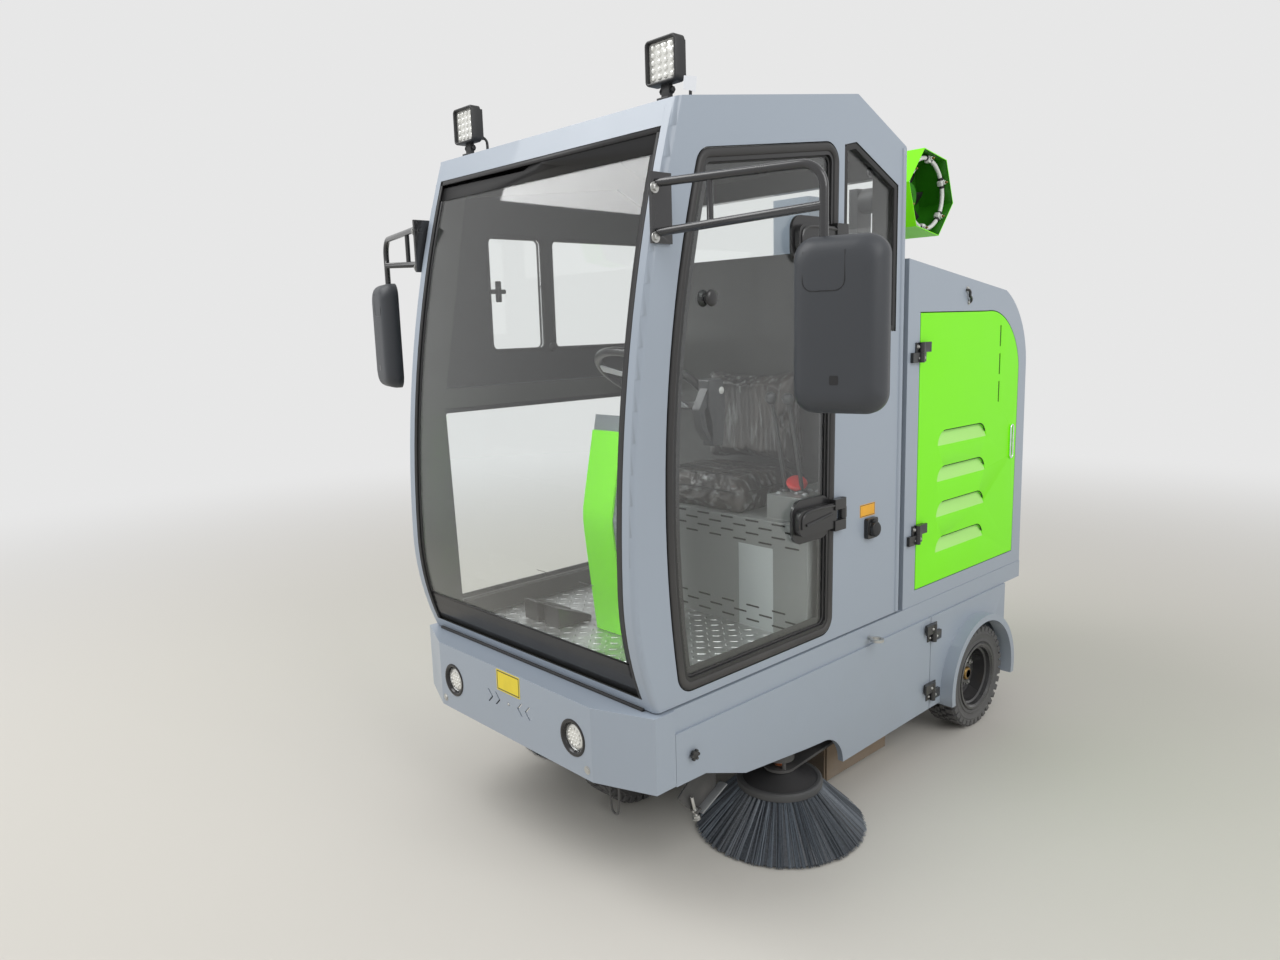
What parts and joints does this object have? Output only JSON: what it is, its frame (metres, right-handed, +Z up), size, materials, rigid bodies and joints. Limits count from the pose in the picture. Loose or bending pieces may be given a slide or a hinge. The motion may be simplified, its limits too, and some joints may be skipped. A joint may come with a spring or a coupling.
{
  "type": "compact ride-on road sweeper",
  "caption": "Compact electric ride-on road sweeper with a glazed cab, steered front wheel, side brushes, roller brush, dust hopper, louvred side doors and a mist cannon.",
  "frame": {"origin": "on the ground below the middle of the machine's overall box", "axes": "+X to the machine's left side, where the cab door is; -Y to the front, +Y to the tail; +Z up"},
  "size_m": [1.97, 1.9635, 2.0419],
  "materials": {
    "frame_paint": "satin black paint",
    "grey_paint": "semi-gloss blue-grey paint",
    "green_paint": "semi-gloss lime green paint",
    "black_metal": "satin black paint",
    "steel": "zinc plated",
    "chequer": "raised tread pattern",
    "cab_glass": "clear",
    "mirror_glass": "polished",
    "lamp": "black housing with clear lens",
    "black_plastic": "fine grain",
    "seat_vinyl": "vinyl under clear film",
    "rubber_sheet": "matt",
    "tyre": "block tread",
    "rim": "gloss black paint",
    "bristle": "stiff nylon bristles",
    "tank": "natural polyethylene",
    "cell": "battery case"
  },
  "bodies": {
    "chassis": {"chassis_frame": "frame_paint", "front_bumper": "grey_paint", "lamps": "lamp", "floor_plate": "chequer", "cab_side_left": "grey_paint", "cab_side_right": "grey_paint", "cab_roof": "grey_paint", "cab_rear_wall": "grey_paint", "windshield": "cab_glass", "side_windows": "cab_glass", "slider_panel": "black_plastic", "door_hinges": "black_metal", "mirrors": "black_plastic", "mirror_glasses": "mirror_glass", "steering_console": "grey_paint", "seat_box": "grey_paint", "seat_cushions": "seat_vinyl", "pedals": "black_metal", "body_housing": "grey_paint", "rear_skirt": "grey_paint", "rear_axle": "frame_paint", "brush_housing": "frame_paint", "brush_flaps": "rubber_sheet", "battery": "cell", "water_tank": "tank", "lashing_eyes": "steel", "charging_socket": "black_plastic"},
    "cab_door": {"cab_door_frame": "black_plastic", "cab_door_glass": "cab_glass", "cab_door_handle": "black_plastic"},
    "body_door_left": {"body_door_left": "green_paint"},
    "body_door_right": {"body_door_right": "green_paint"},
    "rear_door": {"rear_door": "green_paint"},
    "skirt_door_left": {"skirt_door_left": "grey_paint"},
    "skirt_door_right": {"skirt_door_right": "grey_paint"},
    "dust_hopper": {"dust_hopper": "grey_paint"},
    "steering_fork": {"steering_fork": "frame_paint"},
    "front_wheel": {"tyre_front": "tyre", "rim_front": "rim"},
    "rear_wheel_left": {"tyre_rear_left": "tyre", "rim_rear_left": "rim"},
    "rear_wheel_right": {"tyre_rear_right": "tyre", "rim_rear_right": "rim"},
    "steering_wheel": {"steering_wheel": "black_plastic"},
    "main_brush": {"main_brush": "bristle"},
    "brush_arm_left": {"side_brush_arm_left": "frame_paint"},
    "brush_arm_right": {"side_brush_arm_right": "frame_paint"},
    "side_brush_left": {"side_brush_left": "bristle"},
    "side_brush_right": {"side_brush_right": "bristle"},
    "mist_cannon": {"mist_cannon": "green_paint", "nozzle_ring": "steel"}
  },
  "joints": [
    {"name": "cab_door_hinge", "type": "hinge", "parent": "chassis", "child": "cab_door", "pos_m": [0.502, -0.18125, 1.1], "axis": [0, 0, 1], "range_deg": [0, 80]},
    {"name": "body_door_left_hinge", "type": "hinge", "parent": "chassis", "child": "body_door_left", "pos_m": [0.502, 0.22275, 1], "axis": [0, 0, -1], "range_deg": [0, 100]},
    {"name": "body_door_right_hinge", "type": "hinge", "parent": "chassis", "child": "body_door_right", "pos_m": [-0.502, 0.22275, 1], "axis": [0, 0, 1], "range_deg": [0, 100]},
    {"name": "rear_door_hinge", "type": "hinge", "parent": "chassis", "child": "rear_door", "pos_m": [-0.384, 0.97275, 0.9], "axis": [0, 0, 1], "range_deg": [0, 100]},
    {"name": "skirt_door_left_hinge", "type": "hinge", "parent": "chassis", "child": "skirt_door_left", "pos_m": [0.51, 0.32475, 0.3], "axis": [0, 0, 1], "range_deg": [0, 90]},
    {"name": "skirt_door_right_hinge", "type": "hinge", "parent": "chassis", "child": "skirt_door_right", "pos_m": [-0.51, 0.32475, 0.3], "axis": [0, 0, -1], "range_deg": [0, 90]},
    {"name": "hopper_slide", "type": "slide", "parent": "chassis", "child": "dust_hopper", "axis": [0, 1, 0], "range_m": [0, 0.4]},
    {"name": "steering_pivot", "type": "hinge", "parent": "chassis", "child": "steering_fork", "pos_m": [0, -0.53925, 0.4], "axis": [0, 0, 1], "range_deg": [-60, 60]},
    {"name": "front_wheel_spin", "type": "hinge", "parent": "steering_fork", "child": "front_wheel", "pos_m": [0, -0.53925, 0.178], "axis": [1, 0, 0], "continuous": true},
    {"name": "rear_wheel_left_spin", "type": "hinge", "parent": "chassis", "child": "rear_wheel_left", "pos_m": [0.463, 0.61575, 0.178], "axis": [1, 0, 0], "continuous": true},
    {"name": "rear_wheel_right_spin", "type": "hinge", "parent": "chassis", "child": "rear_wheel_right", "pos_m": [-0.463, 0.61575, 0.178], "axis": [1, 0, 0], "continuous": true},
    {"name": "steering_wheel_turn", "type": "hinge", "parent": "chassis", "child": "steering_wheel", "pos_m": [0, -0.41925, 1.256], "axis": [0, 0.5299, 0.848], "range_deg": [-300, 300]},
    {"name": "main_brush_spin", "type": "hinge", "parent": "chassis", "child": "main_brush", "pos_m": [0, 0.08075, 0.152], "axis": [1, 0, 0], "continuous": true},
    {"name": "brush_arm_left_lift", "type": "hinge", "parent": "chassis", "child": "brush_arm_left", "pos_m": [0.419, -0.11325, 0.2], "axis": [-1, 0, 0], "range_deg": [0, 12]},
    {"name": "brush_arm_right_lift", "type": "hinge", "parent": "chassis", "child": "brush_arm_right", "pos_m": [-0.419, -0.11325, 0.2], "axis": [-1, 0, 0], "range_deg": [0, 12]},
    {"name": "side_brush_left_spin", "type": "hinge", "parent": "brush_arm_left", "child": "side_brush_left", "pos_m": [0.419, -0.35925, 0.15], "axis": [0, 0, 1], "continuous": true},
    {"name": "side_brush_right_spin", "type": "hinge", "parent": "brush_arm_right", "child": "side_brush_right", "pos_m": [-0.419, -0.35925, 0.15], "axis": [0, 0, 1], "continuous": true},
    {"name": "mist_cannon_turn", "type": "hinge", "parent": "chassis", "child": "mist_cannon", "pos_m": [0.078, 0.52675, 1.7], "axis": [0, 0, 1], "range_deg": [-90, 90]}
  ],
  "couplings": [
    {"joint": "steering_wheel_turn", "follows": "steering_pivot", "ratio": 5}
  ]
}
